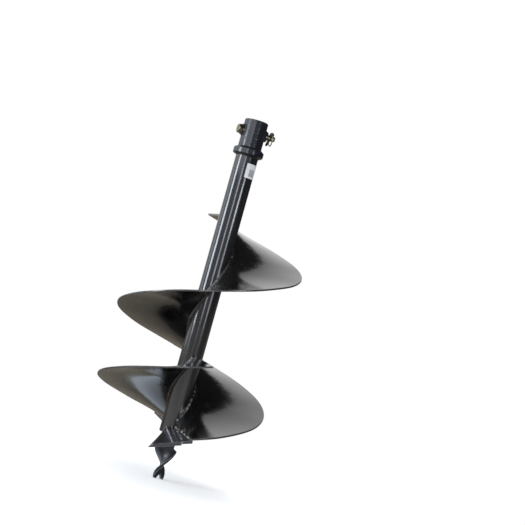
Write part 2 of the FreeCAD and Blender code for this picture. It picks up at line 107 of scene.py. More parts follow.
def black_paint(
    name,
    colour,
    gloss,
    dust,
    lump_size,
    lump_depth,
    wear_and_glint=(0.16, 0.16, 0.165, 1),
    streaks=None,
    runs=0.0,
    coat=0.35,
):
    """Sprayed enamel on steel. Roughness drifts between two gloss values in clouds, dust lies
    on faces that look up, and lumps stand in the film. Points given the wear and glint mark
    take the second colour: worn edges on the flights, painted glints on weld crests, and on
    blades and pilot edge wear with painted highlight lines. Runs are upright grain in the
    film; streaks are press marks along a plate's chart."""
    finish, tree, shader = new_finish(name)
    where = node(tree, "TexCoord").outputs["Object"]
    drift = cloud(tree, where, 11, 5, 0.3, 0.72)
    speck = cloud(tree, where, 700, 3, 0.52, 0.74)
    grit = cloud(tree, where, 95, 6, 0.45, 0.8, rough=0.7)
    upward = node(
        tree, "SeparateXYZ", {0: node(tree, "NewGeometry").outputs["Normal"]}
    ).outputs["Z"]
    lying = node(
        tree, "MapRange", {"Value": upward, "From Min": -0.3, "From Max": 0.9, "To Min": 0.25}
    ).outputs[0]
    film = sums(tree, "MULTIPLY", sums(tree, "MULTIPLY", grit, lying), dust)
    film = sums(tree, "ADD", film, sums(tree, "MULTIPLY", speck, dust * 0.5))
    if runs:
        grain = cloud(tree, where, 1.0, 4, 0.3, 0.72, (60, 60, 4), 0.65)
        film = sums(tree, "ADD", film, sums(tree, "MULTIPLY", grain, runs))
    # the mark holds real edge wear and painted light: glints on weld crests, highlight lines on
    # blade and pilot edges
    wear_and_glint_mark = node(tree, "Attribute", attribute_name="wear_and_glint_mark").outputs["Fac"]
    scuff_and_glint = sums(tree, "MULTIPLY", wear_and_glint_mark, cloud(tree, where, 260, 5, 0.28, 0.62))
    shade = blend_colour(tree, film, colour, (0.19, 0.18, 0.165, 1))
    shade = blend_colour(tree, scuff_and_glint, shade, wear_and_glint)
    tree.links.new(shade, shader.inputs["Base Color"])
    rough = node(
        tree, "MapRange", {"Value": drift, "To Min": gloss[0], "To Max": gloss[1]}
    ).outputs[0]
    rough = sums(tree, "ADD", rough, sums(tree, "MULTIPLY", film, 0.5))
    rough = sums(tree, "ADD", rough, sums(tree, "MULTIPLY", scuff_and_glint, 0.2))
    height = cloud(tree, where, 1 / lump_size, 2)
    if streaks:
        chart = node(tree, "TexCoord").outputs["UV"]
        brushed = cloud(tree, chart, 1.0, 5, 0.25, 0.75, (streaks, 3, 1), 0.65)
        rough = sums(tree, "ADD", rough, sums(tree, "MULTIPLY", brushed, 0.05))
    tree.links.new(rough, shader.inputs["Roughness"])
    bump = node(tree, "Bump", {"Height": height, "Strength": 1.0, "Distance": lump_depth})
    if runs:
        bump = node(
            tree,
            "Bump",
            {"Height": grain, "Strength": 1.0, "Distance": 0.12 * MM, "Normal": bump.outputs[0]},
        )
    if streaks:
        bump = node(
            tree,
            "Bump",
            {"Height": brushed, "Strength": 1.0, "Distance": 0.28 * MM, "Normal": bump.outputs[0]},
        )
    tree.links.new(bump.outputs[0], shader.inputs["Normal"])
    shader.inputs["Specular IOR Level"].default_value = 0.5
    shader.inputs["Coat Weight"].default_value = coat
    shader.inputs["Coat Roughness"].default_value = 0.06
    return finish


def dress(name, finish):
    """Gives a node of the model its finish in every one of its slots."""
    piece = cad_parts[name]
    for place in piece.material_slots:
        place.material = finish
    return piece


hub_finish = black_paint(
    "hub_satin_black",
    colour=(0.0085, 0.0095, 0.0135, 1),
    gloss=(0.15, 0.25),
    dust=0.05,
    lump_size=12 * MM,
    lump_depth=0.38 * MM,
    coat=0.15,
)
for part in ("hub_sleeve", "hub_collar", "pin_boss_head", "pin_boss_tail"):
    dress(part, hub_finish)

# Spigot in the bottom of the socket: turned mild steel bar, left as machined under a thin grey
# oil film, pressed into the sleeve and the tube and welded there.
bare_finish, bare_tree, bare_shader = new_finish("machined_grey")
spot = node(bare_tree, "TexCoord").outputs["Object"]
stain = cloud(bare_tree, spot, 60, 6, 0.3, 0.7)
bare_tree.links.new(
    blend_colour(bare_tree, stain, (0.11, 0.105, 0.1, 1), (0.045, 0.04, 0.036, 1)),
    bare_shader.inputs["Base Color"],
)
bare_tree.links.new(
    node(bare_tree, "MapRange", {"Value": stain, "To Min": 0.3, "To Max": 0.5}).outputs[0],
    bare_shader.inputs["Roughness"],
)
bare_shader.inputs["Metallic"].default_value = 0.8
dress("hub_spigot", bare_finish)


# Cross pin and lynch pin: forged and turned bright, then zinc plated and passivated olive
# yellow; the plating clouds towards green and straw and is rubbed on the hexagon's corners.
def yellow_zinc(name):
    """Plated steel: straw, olive and bronze patches run into one another in two clouds."""
    finish, tree, shader = new_finish(name)
    where = node(tree, "TexCoord").outputs["Object"]
    broad = cloud(tree, where, 75, 4, 0.35, 0.65)
    small = cloud(tree, where, 420, 5, 0.42, 0.7)
    shade = blend_colour(tree, broad, (0.36, 0.325, 0.21, 1), (0.19, 0.175, 0.115, 1))
    shade = blend_colour(tree, small, shade, (0.06, 0.052, 0.038, 1))
    tree.links.new(shade, shader.inputs["Base Color"])
    rough = node(tree, "MapRange", {"Value": small, "To Min": 0.26, "To Max": 0.5})
    tree.links.new(rough.outputs[0], shader.inputs["Roughness"])
    bump = node(tree, "Bump", {"Height": small, "Strength": 0.6, "Distance": 0.15 * MM})
    tree.links.new(bump.outputs[0], shader.inputs["Normal"])
    shader.inputs["Metallic"].default_value = 1.0
    return finish


zinc_finish = yellow_zinc("yellow_zinc")
dress("drive_pin", zinc_finish)
dress("lynch_pin", zinc_finish)

# Lynch pin's spring ring: hard drawn wire, bent to a hoop and sprung into the pin's eye. It is
# bright, with the die's fine lines along it.
wire_finish, wire_tree, wire_shader = new_finish("spring_wire")
spot = node(wire_tree, "TexCoord").outputs["Object"]
drawn = cloud(wire_tree, spot, 500, 4, 0.35, 0.7)
wire_tree.links.new(
    blend_colour(wire_tree, drawn, (0.62, 0.58, 0.5, 1), (0.34, 0.31, 0.26, 1)),
    wire_shader.inputs["Base Color"],
)
wire_tree.links.new(
    node(wire_tree, "MapRange", {"Value": drawn, "To Min": 0.22, "To Max": 0.42}).outputs[0],
    wire_shader.inputs["Roughness"],
)
wire_shader.inputs["Metallic"].default_value = 1.0
dress("lynch_ring", wire_finish)


# Stem: seamless tube, 80 mm outside with a 6 mm wall, cut square and eased at both ends. It is
# sprayed in gloss black enamel that has run a little along it, and so is the plug at its foot.
def skin(name, grid, around=False, along=False, chart=None, wear_and_glint_mark=None, crease=38):
    """A surface over a grid of points in rows and columns, one face to each cell. It closes
    on itself around its columns or along its rows where asked. Points that meet are merged,
    so poles and seams are shut, and the faces are turned outwards."""
    grid = np.asarray(grid, float)
    rows, columns = grid.shape[:2]
    row, column = np.meshgrid(
        np.arange(rows if along else rows - 1),
        np.arange(columns if around else columns - 1),
        indexing="ij",
    )
    cells = ((row, column), (row, column + 1), (row + 1, column + 1), (row + 1, column))
    faces = np.stack([(r % rows) * columns + c % columns for r, c in cells], -1)
    mesh = bpy.data.meshes.new(name)
    mesh.from_pydata(grid.reshape(-1, 3).tolist(), [], faces.reshape(-1, 4).tolist())
    if chart is not None:
        corners = np.stack([chart[r, c] for r, c in cells], -2)
        mesh.uv_layers.new(name="chart").data.foreach_set("uv", corners.reshape(-1))
    if wear_and_glint_mark is not None:
        wear_and_glint = np.broadcast_to(wear_and_glint_mark, (rows, columns)).astype(np.float32)
        mesh.attributes.new("wear_and_glint_mark", "FLOAT", "POINT").data.foreach_set("value", wear_and_glint.reshape(-1))
    shell = bmesh.new()
    shell.from_mesh(mesh)
    bmesh.ops.remove_doubles(shell, verts=shell.verts, dist=2e-6)
    bmesh.ops.recalc_face_normals(shell, faces=shell.faces)
    shell.to_mesh(mesh)
    shell.free()
    mesh.shade_smooth()
    mesh.set_sharp_from_angle(angle=np.radians(crease))
    piece = bpy.data.objects.new(name, mesh)
    bpy.context.scene.collection.objects.link(piece)
    return piece


def fit(piece, finish, slot, body, *nodes):
    """Puts the finish on a piece, hangs it on the body that carries it, and hides the model's nodes
    that it stands for.
    """
    piece.data.materials.append(finish)
    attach(piece, body)
    if nodes:
        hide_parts(*nodes)
    return piece


def spun(radii, heights, steps):
    """A half section turned about the upright axis: each (radius, height) becomes a row."""
    turn = np.linspace(0, 2 * np.pi, steps, endpoint=False)
    radii, heights = np.asarray(radii, float)[:, None], np.asarray(heights, float)[:, None]
    return np.stack(
        [radii * np.cos(turn), radii * np.sin(turn), heights + 0 * turn], -1
    )


TUBE_OUT, TUBE_IN = 40 * MM, 34 * MM
TUBE_TOP, TUBE_FOOT = -102 * MM, -1130 * MM
EASE = 0.6 * MM
tube_section = [
    (TUBE_IN, TUBE_TOP),
    (TUBE_OUT - EASE, TUBE_TOP),
    (TUBE_OUT, TUBE_TOP - EASE),
    *[(TUBE_OUT, z) for z in np.linspace(TUBE_TOP - 3 * EASE, TUBE_FOOT + 3 * EASE, 60)],
    (TUBE_OUT, TUBE_FOOT + EASE),
    (TUBE_OUT - EASE, TUBE_FOOT),
    (TUBE_IN, TUBE_FOOT),
]
enamel = black_paint(
    "tube_gloss_black",
    colour=(0.0055, 0.0062, 0.0085, 1),
    gloss=(0.09, 0.18),
    dust=0.05,
    lump_size=14 * MM,
    lump_depth=0.12 * MM,
    runs=0.07,
)
fit(
    skin("tube", spun(*zip(*tube_section), 180), around=True, along=True),
    enamel,
    "gloss_black",
    "auger",
    "main_tube",
)
dress("tube_end_plug", enamel)

# Flights: flat plate rings cut and pressed into half turns of a right-hand screw, butt
# welded end to end. The rim is sheared and then worn bright by handling.
PITCH, PLATE = 500 * MM, 6 * MM
ROOT, RIM = 40.05 * MM, 300 * MM
SECTION = np.radians(180.6)
START = np.radians(-96.8)
SECOND_START = START + np.pi
END_HEIGHT, SECOND_DROP = -1095.7 * MM, 7 * MM
RIM_EASE, RIM_RUNOUT = 1.4 * MM, 0.0022


def half_depth(radius):
    """Upright half thickness of an even plate wound as a screw: the plate leans more towards
    the root, so half the plate is multiplied by the root of 1 + (pitch / 2 pi r) squared."""
    return PLATE / 2 * np.sqrt(1 + (PITCH / (2 * np.pi * radius)) ** 2)


def pressed(radius, turn, phase):
    """What the press leaves uneven: the plate rises and falls by tenths of a millimetre at
    the root and by a millimetre or so at the rim, in three slow waves along the turn."""
    out = np.clip((radius - ROOT) / (RIM - ROOT), 0, 1)
    wave = np.sin(5 * turn + phase) + 0.6 * np.sin(11 * turn + 2 * phase)
    return out**1.5 * wave * 0.6 * MM


def flight(name, node_name, start, height, phase, finish):
    """One half turn: a closed plate section, from the tube to the rim and back underneath,
    is carried round the axis and climbs by the pitch for each full turn. The radius swells
    and shrinks towards the rim with the sine of three times the turn, as a cut ring does."""
    span = np.geomspace(ROOT, RIM - 2.5 * RIM_EASE, 34)
    corner = np.linspace(0, np.pi / 2, 5)
    edge_half = half_depth(RIM)
    over_r = RIM - RIM_EASE + RIM_EASE * np.sin(corner)
    over_z = edge_half - RIM_EASE + RIM_EASE * np.cos(corner)
    radius = np.concatenate([span, over_r, over_r[::-1], span[::-1]])
    lift = np.concatenate(
        [half_depth(span), over_z, -over_z[::-1], -half_depth(span[::-1])]
    )
    edge = np.concatenate([0 * span, 0 * over_r + 1, 0 * over_r + 1, 0 * span])
    edge[len(span) - 1] = edge[len(radius) - len(span)] = 0.1
    turn = np.concatenate([[start], np.linspace(start, start + SECTION, 200), [start + SECTION]])
    full = np.ones_like(turn)
    full[[0, -1]] = 0
    turn, full = turn[:, None], full[:, None]
    out = np.clip((radius - ROOT) / (RIM - ROOT), 0, 1)
    grow = 1 + RIM_RUNOUT * out * np.sin(3 * turn + phase)
    level = height + PITCH * (turn - start) / (2 * np.pi) + pressed(radius, turn, phase)
    grid = np.stack(
        [radius * grow * np.cos(turn), radius * grow * np.sin(turn), level + full * lift], -1
    )
    across = np.append(radius, radius[0])
    chart = np.stack(np.broadcast_arrays(turn, across), -1)
    piece = skin(name, grid, around=True, chart=chart, wear_and_glint_mark=edge + 0 * turn)
    return fit(piece, finish, "gloss_black", "auger", node_name)


flight_enamel = black_paint(
    "flight_gloss_black",
    colour=(0.0035, 0.0035, 0.0038, 1),
    gloss=(0.04, 0.1),
    dust=0.05,
    lump_size=16 * MM,
    lump_depth=0.12 * MM,
    wear_and_glint=(0.045, 0.045, 0.045, 1),
    streaks=30,
)
for name, node_name, steps in (
    ("flight_lower", "flight_a_lower", 0),
    ("flight_middle", "flight_a_middle", 1),
    ("flight_upper", "flight_a_upper", 2),
):
    rise = PITCH * steps * SECTION / (2 * np.pi)
    flight(name, node_name, START + steps * SECTION, END_HEIGHT + rise, 0.7, flight_enamel)
flight("flight_second", "flight_b", SECOND_START, END_HEIGHT - SECOND_DROP, 2.1, flight_enamel)


# Weld beads: fillets run by hand where plate meets tube, and crowns over the butt joints.
# Each bead is a row of frozen pools, painted over with the rest, with painted glints of light on
# its crests.
POOL_LONG, BEAD_SINK, BEAD_STEP = 4.6 * MM, 0.6 * MM, 0.55 * MM
WELD_FOOT, SLEEVE_FOOT, COLLAR_END = 39.9 * MM, 41.9 * MM, -126.5 * MM
SLEEVE_OUT, BOSS_OUT, PIN_LEVEL = 42 * MM, 18.9 * MM, -42 * MM
UP = np.array([0.0, 0.0, 1.0])


def wander(length, seed, step=22 * MM):
    """A smooth random drift along a length, from -1 to 1: five sines with seeded phases."""
    pick = np.random.default_rng(seed)
    beat = pick.uniform(0.6, 2.2, 5)[:, None]
    phase = pick.uniform(0, 2 * np.pi, 5)[:, None]
    return np.sin(beat * length / step + phase).mean(0) * 1.6


def bead(
    name,
    corner,
    first,
    second,
    leg,
    seed,
    sweep=90,
    high=1.0,
    closed=False,
    lumps=0.16,
    drops_and_glints=0.0,
):
    """Weld metal along a corner line. At each step an arc swings from the first direction to
    the second; its reach swells and shrinks with the pools, which bow along the bead, as
    leg times (1 - lumps + lumps times the pool's ripple). Where drops and glints are asked
    for, drops stand on the bead and the pools' crests are marked for a pale painted glint,
    standing in for light caught on them."""
    corner = np.asarray(corner, float)
    ahead = np.roll(corner, -1, 0) - corner
    length = np.concatenate([[0], np.cumsum(np.linalg.norm(ahead, axis=1))[:-1]])
    swing = np.linspace(0, np.radians(sweep), 11)
    bow = (swing / swing[-1] - 0.5) ** 2
    pool = POOL_LONG * (1 + 0.06 * wander(length, seed + 1))
    beat = length[:, None] / pool[:, None] + 1.4 * bow
    ripple = np.abs(np.sin(np.pi * beat)) ** 0.7
    drift = wander(length, seed)[:, None]
    rough = np.broadcast_to(lumps, length.shape)[:, None]
    reach = np.broadcast_to(leg, length.shape)[:, None] * (
        1 - rough + rough * ripple + (0.1 + 0.3 * rough) * drift
    )
    flat = 1 / (np.abs(np.cos(swing)) + np.abs(np.sin(swing)))
    reach = reach * (0.45 + 0.55 * flat)
    speck = sum(
        wander(length, seed + 2 + k, step * MM) for k, step in enumerate((1.7, 3.1, 5.9, 14))
    )
    speck = np.broadcast_to(drops_and_glints, length.shape) * np.clip(0.9 * speck + 0.1, 0, 1)
    reach = reach + 1.0 * MM * speck[:, None]
    if not closed:
        ends = np.minimum(np.arange(len(corner)), np.arange(len(corner))[::-1])
        speck = speck * np.clip(ends / 14, 0, 1)
        reach = reach * np.sqrt(np.clip(ends / 6, 0, 1))[:, None]
    arc = (
        corner[:, None]
        + (reach * np.cos(swing))[..., None] * first[:, None]
        + (high * reach * np.sin(swing))[..., None] * second[:, None]
    )
    sunk = corner - BEAD_SINK * second - (BEAD_SINK * first if sweep == 90 else 0)
    grid = np.concatenate([arc, sunk[:, None]], 1)
    # pale paint on the pools' crests: painted glints, standing in for light caught there
    painted_glint = np.pad(speck[:, None] * (1 - 4 * bow) ** 0.8, ((0, 0), (0, 1)))
    if not closed:
        head, tail = sunk[None, None, 0] + 0 * grid[:1], sunk[None, None, -1] + 0 * grid[:1]
        grid = np.concatenate([head, grid, tail])
        painted_glint = np.pad(painted_glint, ((1, 1), (0, 0)))
    return skin(name, grid, around=True, along=closed, wear_and_glint_mark=painted_glint, crease=70)


# the pale second colour paints glints of light on the beads' crests
weld_enamel = black_paint(
    "weld_gloss_black",
    colour=(0.006, 0.006, 0.007, 1),
    gloss=(0.08, 0.2),
    dust=0.08,
    lump_size=2.5 * MM,
    lump_depth=0.3 * MM,
    wear_and_glint=(0.62, 0.6, 0.57, 1),
)


def lay(piece):
    """Paints a bead and fixes it to the auger; it stands for no solid of its own."""
    return fit(piece, weld_enamel, "gloss_black", "auger")


def unit(vectors):
    """Each vector divided by its own length."""
    return vectors / np.linalg.norm(vectors, axis=-1, keepdims=True)


def radial(turn):
    """The level direction away from the axis at a turn: cosine, sine and nothing upwards."""
    return np.stack([np.cos(turn), np.sin(turn), 0 * turn], -1)


def root_bead(name, start, turns, height, side, leg, seed, lumps):
    """The fillet in the corner of flight and tube, above the plate (side 1) or under it. It
    climbs with the plate, and over the first 1.9 radians it is heavier and carries more
    painted glints."""
    count = int(turns * TUBE_OUT / BEAD_STEP)
    turn = np.linspace(start + 0.03, start + turns - 0.03, count)
    out = radial(turn)
    level = height + PITCH * (turn - start) / (2 * np.pi) + side * half_depth(ROOT)
    corner = out * WELD_FOOT + UP * level[:, None]
    forward = unit(
        np.stack([-np.sin(turn) * ROOT, np.cos(turn) * ROOT, 0 * turn + PITCH / (2 * np.pi)], -1)
    )
    upright = side * unit(np.cross(out, forward))
    early = np.clip(1 - (turn - start) / 1.9, 0, 1)
    leg, lumps = leg + 0.5 * MM * early, lumps + 0.3 * early
    # painted glints on the crests: some all along the top bead, more where the beads start
    drops_and_glints = 0.13 + 0.75 * early if side > 0 else 0.3 * early
    return lay(bead(name, corner, out, upright, leg, seed, lumps=lumps, drops_and_glints=drops_and_glints))


FULL = 3 * SECTION
root_bead("root_weld_top", START, FULL, END_HEIGHT, 1, 6.5 * MM, 3, 0.16)
root_bead("root_weld_under", START, FULL, END_HEIGHT, -1, 6 * MM, 5, 0.12)
SECOND_END = END_HEIGHT - SECOND_DROP
root_bead("second_weld_top", SECOND_START, SECTION, SECOND_END, 1, 7 * MM, 7, 0.2)
root_bead("second_weld_under", SECOND_START, SECTION, SECOND_END, -1, 6 * MM, 9, 0.12)

for joint in (1, 2):
    turn = START + joint * SECTION
    reach = np.linspace(46 * MM, RIM - 3 * MM, 300)
    level = END_HEIGHT + PITCH * joint * SECTION / (2 * np.pi)
    for side, word in ((1, "top"), (-1, "under")):
        slope = unit(
            np.stack(
                [-np.sin(turn) * reach, np.cos(turn) * reach, 0 * reach + PITCH / (2 * np.pi)], -1
            )
        )
        out = radial(turn + 0 * reach)
        face = level + side * half_depth(reach) + pressed(reach, turn, 0.7)
        corner = out * reach[:, None] + UP * (face - side * 0.2 * MM)[:, None]
        upright = side * unit(np.cross(out, slope))
        name = f"butt_weld_{joint}_{word}"
        lay(bead(name, corner, slope, upright, 5 * MM, 11 + joint, sweep=180, high=0.22))


def ring_bead(name, radius, height, side, leg, seed):
    """A fillet all round the axis, standing on a face that looks up (side 1) or down."""
    turn = np.linspace(0, 2 * np.pi, int(2 * np.pi * radius / BEAD_STEP), endpoint=False)
    corner = radial(turn) * radius + UP * height
    return lay(bead(name, corner, radial(turn), side * UP + 0 * corner, leg, seed, closed=True))


ring_bead("collar_weld_top", SLEEVE_FOOT, TUBE_TOP, 1, 5 * MM, 21)
ring_bead("collar_weld_under", WELD_FOOT, COLLAR_END, -1, 5 * MM, 22)

# where a boss stands on the round sleeve, its foot follows both cylinders
for side, word in ((1, "tail"), (-1, "head")):
    turn = np.linspace(0, 2 * np.pi, 220, endpoint=False)
    across, rise = BOSS_OUT * np.cos(turn), BOSS_OUT * np.sin(turn)
    foot = side * np.sqrt(SLEEVE_OUT**2 - across**2)
    corner = np.stack([foot, across, rise + PIN_LEVEL], -1)
    outward = np.stack([0 * turn, np.cos(turn), np.sin(turn)], -1)
    normal = unit(np.stack([foot, across, 0 * turn], -1))
    along_skin = unit(outward - (outward * normal).sum(-1, keepdims=True) * normal)
    axis = np.zeros_like(corner)
    axis[:, 0] = side
    lay(bead(f"boss_weld_{word}", corner, along_skin, axis, 4 * MM, 30 + side, closed=True))


# Blades: under each flight's lower end a mild steel support plate, and ahead of it a thicker
# hard steel knife ground to an edge. Scale and oil show blue-black under thin paint. Each
# corner line of their sections is given by its sideways place at the tube and at the rim.
BLADE_YAW, BLADE_SLOPE = np.radians(14.2), np.radians(18.3)
UNDER_FLIGHT = 0.3 * MM
TRAIL, SEAM, SEAM_BEHIND = (19 * MM, 78 * MM), (12 * MM, 46 * MM), (12.05 * MM, 46.05 * MM)
BEVEL, NOSE, EDGE = (-17 * MM, 15 * MM), (-21 * MM, -48 * MM), (-25 * MM, -60 * MM)
SUPPORT_DEEP, KNIFE_DEEP = 8 * MM / np.cos(BLADE_SLOPE), 12 * MM / np.cos(BLADE_SLOPE)


def rounded(corners, ease, steps=4, beside=1.8):
    """Closed outlines with eased corners, one outline to each row. A corner P between the
    unit directions a and b runs along P + ease ((1 - t)^2 a + t^2 b), t from 0 to 1. On
    each side of it stand two more points, beside times the ease away, to keep faces flat."""
    before = unit(np.roll(corners, 1, 1) - corners)[:, :, None]
    after = unit(np.roll(corners, -1, 1) - corners)[:, :, None]
    t = np.linspace(0, 1, steps)[None, None, :, None]
    arc = corners[:, :, None] + ease * ((1 - t) ** 2 * before + t**2 * after)
    beside = np.broadcast_to(beside, corners.shape[1])[None, :, None, None]
    steady = beside * np.array([1.35, 1])[None, None, :, None] * ease
    lead = corners[:, :, None] + steady * before
    trail = corners[:, :, None] + steady[:, :, ::-1] * after
    points = np.concatenate([lead, arc, trail], 2)
    return points.reshape(len(corners), -1, 2)


def straight(at_root, at_rim, x):
    """A value that runs straight from the tube to the rim, in the share of the way out."""
    return at_root + (at_rim - at_root) * (x - TUBE_OUT) / (RIM - TUBE_OUT)


def blade_top(x, side):
    """The upper plane of support and knife: a little under the flight's end, and lower ahead
    of it by the tangent of the slope."""
    under = straight(half_depth(ROOT), half_depth(RIM), x / np.cos(BLADE_YAW))
    return -under - UNDER_FLIGHT + np.tan(BLADE_SLOPE) * (side - x * np.tan(BLADE_YAW))


def stand_blade(points, start):
    """From the blade's own axes to the auger's: a turn about the axis and a drop."""
    turn = START - BLADE_YAW + np.pi * start
    x, y, z = points[..., 0], points[..., 1], points[..., 2]
    return np.stack(
        [
            x * np.cos(turn) - y * np.sin(turn),
            x * np.sin(turn) + y * np.cos(turn),
            z + END_HEIGHT - SECOND_DROP * start,
        ],
        -1,
    )


def blade(name, node_name, start, corners, ease, finish, ground=None):
    """A plate ruled from the tube out to the rim: at each station the section's corners lie
    at straight-line positions and hang by their depth below the common upper plane. The
    first stations bend on to the tube's round skin. Each rounded corner is marked pale, as
    edge wear and a painted highlight line along it; a ground corner's mark is wider."""
    long = RIM - TUBE_OUT + 4 * MM
    tail = 1 - np.array([1.4, 0.5, 0, 0, 0]) * MM / long
    x = np.concatenate([np.linspace(0, 1 - 3 * MM / long, 40), tail])
    stations = TUBE_OUT - 4 * MM + long * x
    section = []
    for root, rim, root_deep, rim_deep in corners:
        side = straight(root, rim, stations)
        deep = straight(root_deep, rim_deep, stations)
        section.append(np.stack([side, blade_top(stations, side) - deep], -1))
    section = np.stack(section, 1)
    beside = np.full(len(corners), 1.8)
    if ground is not None:
        beside[ground : ground + 3] = 3.6, 0.8, 0.8
    loop = rounded(section, ease, beside=beside)
    foot = np.sqrt(np.maximum(ROOT**2 - loop[:1, :, 0] ** 2, 0))
    reach = stations[:, None] + (foot - stations[0]) * (1 - x[:, None]) ** 6
    middle = loop[-3].mean(0)
    loop[-3:] = middle + (loop[-3:] - middle) * np.array([0.965, 0.9, 0])[:, None, None]
    start_row = loop[:1] * 0 + loop[0].mean(0)
    grid = np.concatenate([reach[..., None], loop], -1)
    opening = np.concatenate([np.full((1, loop.shape[1], 1), 37 * MM), start_row], -1)
    grid = np.concatenate([opening, grid])
    per = loop.shape[1] // len(corners)
    # pale marks along the corners: edge wear and painted highlight lines; the outer end is marked
    # part way
    edge_wear_and_highlight = np.zeros(loop.shape[1])
    for k in range(len(corners)):
        spread = 1 if k == ground else 2
        edge_wear_and_highlight[k * per + spread : (k + 1) * per - spread] = 1
    edge_wear_and_highlight = np.broadcast_to(edge_wear_and_highlight, grid.shape[:2]).copy()
    edge_wear_and_highlight[-4:-2] = 0.6
    edge_wear_and_highlight[-2:] = 0
    piece = skin(name, stand_blade(grid, start), around=True, wear_and_glint_mark=edge_wear_and_highlight, crease=32)
    return fit(piece, finish, "blade_black", "auger", node_name)


# its pale bluish second colour marks worn edges and paints highlight lines along them
blade_finish = black_paint(
    "blade_blue_black",
    colour=(0.012, 0.0128, 0.018, 1),
    gloss=(0.2, 0.36),
    dust=0.14,
    lump_size=6 * MM,
    lump_depth=0.2 * MM,
    wear_and_glint=(0.5, 0.52, 0.58, 1),
)
for start, word in ((0, "front"), (1, "rear")):
    blade(
        f"support_{word}",
        f"blade_support_{word}",
        start,
        [
            (*TRAIL, 0, 0),
            (*SEAM_BEHIND, 0, 0),
            (*SEAM_BEHIND, SUPPORT_DEEP, SUPPORT_DEEP),
            (*TRAIL, SUPPORT_DEEP, SUPPORT_DEEP),
        ],
        1.0 * MM,
        blade_finish,
    )
    blade(
        f"knife_plate_{word}",
        f"knife_{word}",
        start,
        [
            (*SEAM, 0, 0),
            (*BEVEL, 0, 0),
            (*NOSE, 0.5 * MM, 3 * MM),
            (*EDGE, KNIFE_DEEP, KNIFE_DEEP),
            (*SEAM, KNIFE_DEEP, KNIFE_DEEP),
        ],
        0.5 * MM,
        blade_finish,
        ground=1,
    )

    # the seam of knife and support is closed by a flat bead over its top, with painted glints on
    # its crests
    reach = np.linspace(42 * MM, RIM - 1 * MM, 330)
    side = straight(*SEAM, reach)
    top = np.stack([reach, side, blade_top(reach, side) - 0.2 * MM], -1)
    ahead = unit(np.gradient(top, axis=0))
    level = np.zeros_like(top)
    level[:, 1], level[:, 2] = np.cos(BLADE_SLOPE), np.sin(BLADE_SLOPE)
    upright = unit(np.cross(ahead, level))
    origin_shift = stand_blade(np.zeros(3), start)
    lay(
        bead(
            f"knife_weld_{word}",
            stand_blade(top, start),
            stand_blade(level, start) - origin_shift,
            stand_blade(upright, start) - origin_shift,
            3.6 * MM,
            40 + start,
            sweep=180,
            high=0.4,
            drops_and_glints=0.9,
        )
    )

    # the flight's end is welded to the support it sits on, the bead carrying painted glints
    reach = np.linspace(43 * MM, RIM - 2 * MM, 380)
    turn = START + np.pi * start
    out = radial(turn + 0 * reach)
    level = END_HEIGHT - SECOND_DROP * start - half_depth(reach)
    ahead = np.array([np.sin(turn), -np.cos(turn), -np.tan(BLADE_SLOPE)]) + 0 * out
    corner = out * reach[:, None] + UP * level[:, None] + unit(ahead) * 0.1 * MM
    lay(
        bead(
            f"end_weld_{word}",
            corner,
            unit(ahead),
            UP + 0 * out,
            4.6 * MM,
            50 + start,
            lumps=0.45,
            drops_and_glints=0.8,
        )
    )

    # both blades are welded to the tube along their upper face, the beads carrying painted glints
    side = np.linspace(-23 * MM, 17 * MM, 90)
    foot = np.sqrt(WELD_FOOT**2 - side**2)
    corner = np.stack([foot, side, blade_top(foot, side)], -1)
    out = unit(np.stack([foot, side, 0 * side], -1))
    lay(
        bead(
            f"blade_root_weld_{word}",
            stand_blade(corner, start),
            stand_blade(out, start) - origin_shift,
            UP + 0 * out,
            5 * MM,
            60 + start,
            lumps=0.3,
            drops_and_glints=1.0,
        )
    )

# Pilot: a 12 mm flat bar, shouldered to fit the tube's plug, heated and twisted while it
# tapers, then notched like a fishtail. Forge scale under paint, with a pale painted
# highlight line near each wing's edge and the tip marked pale as wear.
PILOT_TURN, PILOT_PLATE = np.radians(-21), 12 * MM
SHANK_LEVELS = np.array([36, 0, -30, -50, -50.7, -51.5, -53.7, -56.3, -58.3, -59]) * MM
SHANK_WIDTHS = np.array([55, 55, 55, 55, 55.2, 57, 63.1, 71.3, 77.4, 79.4]) * MM
WING_WIDE, TIP_WIDE = 80 * MM, 36 * MM
TWIST, TWIST_FROM, TWIST_LONG = np.radians(168), -59 * MM, 105 * MM
NOTCH_HALF, NOTCH_DEEP = 8 * MM, 16 * MM


def pilot_grid():
    """A flat section carried down the bar. Its width follows the shoulders and the taper,
    and below the wings it turns evenly with depth. The notch lifts the rows towards the tip,
    most in the middle: by its depth times (1 - (place / half width) squared) to the 0.8."""
    across = np.concatenate([[-1, -0.985, -0.94], np.linspace(-0.85, 0.85, 35), [0.94, 0.985, 1]])
    thick = np.sqrt(1 - np.clip((np.abs(across) - 0.95) / 0.05, 0, 1) ** 2 * 0.5)
    thick[[0, -1]] = 0.66
    u = np.concatenate([across, across[::-1]])
    w = np.concatenate([thick, -thick[::-1]])
    share = np.linspace(0, 1, 90)[1:]
    level = np.concatenate([SHANK_LEVELS, TWIST_FROM - TWIST_LONG * share])[:, None] + 0 * u
    taper = WING_WIDE + (TIP_WIDE - WING_WIDE) * share
    sideways = u * np.concatenate([SHANK_WIDTHS, taper])[:, None] / 2
    cut = NOTCH_DEEP * np.clip(1 - (u * TIP_WIDE / 2 / NOTCH_HALF) ** 2, 0, 1) ** 0.8
    down = np.clip((TWIST_FROM - level) / TWIST_LONG, 0, 1)
    level = level + cut * down
    down = np.clip((TWIST_FROM - level) / TWIST_LONG, 0, 1)
    return level, sideways, w, down, u


